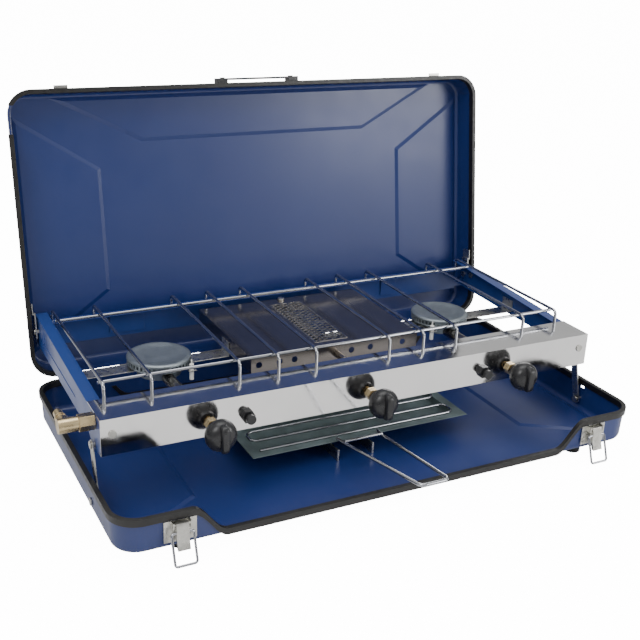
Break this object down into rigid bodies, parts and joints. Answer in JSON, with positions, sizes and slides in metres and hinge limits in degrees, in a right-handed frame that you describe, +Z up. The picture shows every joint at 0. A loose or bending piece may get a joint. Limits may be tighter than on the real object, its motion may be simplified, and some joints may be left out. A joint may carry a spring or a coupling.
{
  "type": "folding camping stove",
  "caption": "Fold-flat gas camping stove: blue steel case with hinged lid, lift-up cooktop with burners, covered grill, wire rack, grill pan and draw latches.",
  "frame": {"origin": "centre of the bounding box's bottom face, at the floor, with the lid open", "axes": "+X along the case to the right, +Y to the rear, +Z up"},
  "size_m": [0.6216, 0.447, 0.3687],
  "materials": {
    "blue_enamel": "gloss royal blue enamel",
    "edge_trim": "satin near-black edging",
    "rubber_feet": "matt black rubber",
    "zinc_plate": "bright zinc plated steel",
    "mirror_steel": "polished stainless steel",
    "dark_stainless": "brushed stainless, warm from heat",
    "blue_bracket": "gloss royal blue enamel",
    "black_plastic": "black moulded plastic",
    "brass_parts": "plain brass",
    "chromed_wire": "chromed steel wire",
    "burner_alloy": "cast aluminium, matt",
    "pan_steel": "dark grey enamel",
    "ceramic_white": "white glazed ceramic",
    "mesh_steel": "steel mesh"
  },
  "bodies": {
    "base": {"base_tray": "blue_enamel", "base_trim": "edge_trim", "base_feet": "rubber_feet", "hinge_leaf_lower": "zinc_plate", "hinge_pin": "zinc_plate", "latch_plates": "zinc_plate", "leg_pins_lower": "zinc_plate", "pan_rails": "zinc_plate"},
    "lid": {"lid_shell": "blue_enamel", "lid_trim": "edge_trim", "hinge_leaf_upper": "zinc_plate", "carry_handle": "black_plastic", "latch_catches": "zinc_plate", "lid_brackets": "zinc_plate", "lid_rivets": "zinc_plate"},
    "cooktop": {"frame_pins": "zinc_plate", "rail_left": "blue_bracket", "rail_right": "blue_bracket", "front_panel": "mirror_steel", "frame_screws": "zinc_plate", "rear_rail": "blue_bracket", "rear_tabs": "blue_bracket", "rack_wires_end_left": "chromed_wire", "rack_wires_end_right": "chromed_wire", "rack_wires_left": "chromed_wire", "rack_wires_right": "chromed_wire", "rack_rod_front": "chromed_wire", "rack_rod_rear": "chromed_wire", "burner_heads": "burner_alloy", "burner_caps": "burner_alloy", "venturi_tubes": "dark_stainless", "burner_straps": "zinc_plate", "spark_electrodes": "ceramic_white", "grill_box": "dark_stainless", "grill_mesh": "mesh_steel", "grill_burner": "dark_stainless", "grill_feed_pipe": "dark_stainless", "gas_valves": "brass_parts", "gas_pipe": "brass_parts", "gas_inlet": "brass_parts", "inlet_nut": "brass_parts", "igniter_bodies": "black_plastic", "igniter_nuts": "black_plastic"},
    "leg_left": {"leg_left": "zinc_plate"},
    "leg_right": {"leg_right": "zinc_plate"},
    "pan": {"pan_plate": "pan_steel", "pan_grid": "chromed_wire", "pan_handle": "chromed_wire"},
    "lever_left": {"latch_lever_left": "zinc_plate"},
    "lever_right": {"latch_lever_right": "zinc_plate"},
    "bail_left": {"latch_bail_left": "chromed_wire"},
    "bail_right": {"latch_bail_right": "chromed_wire"},
    "knob_left": {"knob_left": "black_plastic", "knob_stem_left": "brass_parts"},
    "knob_middle": {"knob_middle": "black_plastic", "knob_stem_middle": "brass_parts"},
    "knob_right": {"knob_right": "black_plastic", "knob_stem_right": "brass_parts"},
    "button_left": {"igniter_button_left": "black_plastic"},
    "button_right": {"igniter_button_right": "black_plastic"}
  },
  "joints": [
    {"name": "lid_hinge", "type": "hinge", "parent": "base", "child": "lid", "pos_m": [0.01115, 0.1437, 0.05], "axis": [1, 0, 0], "range_deg": [0, 98.6]},
    {"name": "cooktop_pivot", "type": "hinge", "parent": "lid", "child": "cooktop", "pos_m": [0.01115, 0.15791, 0.10224], "axis": [1, 0, 0], "range_deg": [-98.6, 0]},
    {"name": "leg_left_pivot", "type": "hinge", "parent": "base", "child": "leg_left", "pos_m": [-0.27885, -0.0863, 0.023], "axis": [1, 0, 0], "range_deg": [0, 98.6]},
    {"name": "leg_right_pivot", "type": "hinge", "parent": "base", "child": "leg_right", "pos_m": [0.30115, -0.0863, 0.023], "axis": [1, 0, 0], "range_deg": [0, 98.6]},
    {"name": "pan_slide", "type": "slide", "parent": "base", "child": "pan", "axis": [0, 0.9984, -0.0559], "range_m": [0, 0.1252]},
    {"name": "lever_left_pivot", "type": "hinge", "parent": "base", "child": "lever_left", "pos_m": [-0.22785, -0.1773, 0.037], "axis": [-1, 0, 0], "range_deg": [0, 110]},
    {"name": "bail_left_pivot", "type": "hinge", "parent": "lever_left", "child": "bail_left", "pos_m": [-0.22785, -0.1793, 0.03], "axis": [-1, 0, 0], "range_deg": [0, 50]},
    {"name": "lever_right_pivot", "type": "hinge", "parent": "base", "child": "lever_right", "pos_m": [0.25015, -0.1773, 0.037], "axis": [-1, 0, 0], "range_deg": [0, 110]},
    {"name": "bail_right_pivot", "type": "hinge", "parent": "lever_right", "child": "bail_right", "pos_m": [0.25015, -0.1793, 0.03], "axis": [-1, 0, 0], "range_deg": [0, 50]},
    {"name": "knob_left_turn", "type": "hinge", "parent": "cooktop", "child": "knob_left", "pos_m": [-0.16735, -0.0938, 0.085], "axis": [0, 1, 0], "range_deg": [0, 240]},
    {"name": "knob_middle_turn", "type": "hinge", "parent": "cooktop", "child": "knob_middle", "pos_m": [0.01115, -0.0938, 0.085], "axis": [0, 1, 0], "range_deg": [0, 240]},
    {"name": "knob_right_turn", "type": "hinge", "parent": "cooktop", "child": "knob_right", "pos_m": [0.18965, -0.0938, 0.085], "axis": [0, 1, 0], "range_deg": [0, 240]},
    {"name": "button_left_push", "type": "slide", "parent": "cooktop", "child": "button_left", "axis": [0, 1, 0], "range_m": [0, 0.003], "stiffness_N_per_m": 400},
    {"name": "button_right_push", "type": "slide", "parent": "cooktop", "child": "button_right", "axis": [0, 1, 0], "range_m": [0, 0.003], "stiffness_N_per_m": 400}
  ],
  "couplings": [
    {"joint": "cooktop_pivot", "follows": "lid_hinge", "ratio": -1},
    {"joint": "leg_left_pivot", "follows": "lid_hinge", "ratio": 1},
    {"joint": "leg_right_pivot", "follows": "lid_hinge", "ratio": 1},
    {"joint": "pan_slide", "follows": "lid_hinge", "m_per_rad": 0.07275}
  ]
}
